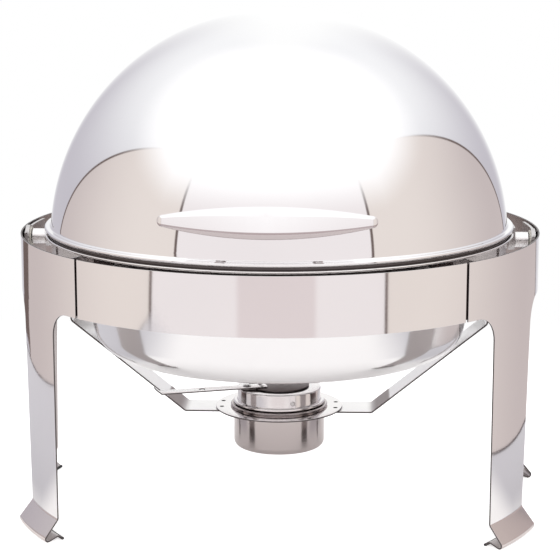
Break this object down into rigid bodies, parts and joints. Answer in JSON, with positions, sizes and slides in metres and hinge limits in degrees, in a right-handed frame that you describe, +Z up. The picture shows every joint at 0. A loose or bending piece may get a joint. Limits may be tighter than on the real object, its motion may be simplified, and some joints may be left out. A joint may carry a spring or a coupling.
{
  "type": "roll top chafer",
  "caption": "Round roll-top chafer: a domed lid that rolls back on side pivots over a food pan and a water pan, in a banded stand with scroll legs and a fuel burner below.",
  "frame": {"origin": "on the floor, under the middle of the object's bounding box", "axes": "+Z up, +X along the lid pivot axis and to the right as seen from the front, and the front, with the lid handle, faces -Y"},
  "size_m": [0.4834, 0.479, 0.452],
  "materials": {
    "lid_steel": "mirror-polished stainless steel",
    "stand_steel": "mirror-polished stainless steel with faint polishing lines",
    "ring_steel": "polished stainless steel",
    "pan_steel": "drawn stainless steel, bright",
    "burner_steel": "plain mill-finished stainless steel",
    "inner_steel": "satin stainless steel",
    "dark_steel": "heat-darkened stainless steel",
    "bush_plastic": "plain nylon",
    "black_rubber": "matte black rubber"
  },
  "bodies": {
    "stand": {"front_band": "stand_steel", "rear_band": "stand_steel", "left_side_panel": "stand_steel", "right_side_panel": "stand_steel", "seam_splices": "dark_steel", "foot_glides": "black_rubber", "pan_ring": "ring_steel", "front_rail": "ring_steel", "rail_tabs": "inner_steel", "left_hinge_plate": "inner_steel", "right_hinge_plate": "inner_steel", "hinge_bushes": "bush_plastic", "friction_washers": "black_rubber", "left_burner_arm": "burner_steel", "right_burner_arm": "burner_steel", "hanger_rivets": "inner_steel", "burner_plate": "burner_steel", "plate_rivets": "inner_steel", "fuel_cup": "burner_steel", "burner_collar": "burner_steel", "collar_rivets": "inner_steel", "damper_pivot": "inner_steel"},
    "water_pan": {"water_pan": "pan_steel"},
    "food_pan": {"food_pan": "pan_steel"},
    "lid": {"lid_dome": "lid_steel", "left_lid_lug": "inner_steel", "right_lid_lug": "inner_steel", "pivot_hubs": "lid_steel", "pivot_pins": "inner_steel", "lid_handle": "lid_steel", "handle_posts": "inner_steel", "handle_washers": "inner_steel", "handle_nuts": "inner_steel"},
    "damper": {"damper_cover": "dark_steel", "damper_lever": "burner_steel", "lever_rivets": "inner_steel"}
  },
  "joints": [
    {"name": "lid_roll", "type": "hinge", "parent": "stand", "child": "lid", "pos_m": [0, -0.0155, 0.247], "axis": [-1, 0, 0], "range_deg": [0, 90]},
    {"name": "water_pan_lift", "type": "slide", "parent": "stand", "child": "water_pan", "axis": [0, 0, 1], "range_m": [0, 0.008]},
    {"name": "food_pan_lift", "type": "slide", "parent": "water_pan", "child": "food_pan", "axis": [0, 0, 1], "range_m": [0, 0.018]},
    {"name": "damper_swivel", "type": "hinge", "parent": "stand", "child": "damper", "pos_m": [-0.0285, -0.031, 0.1105], "axis": [0, 0, 1], "range_deg": [0, 90]}
  ]
}
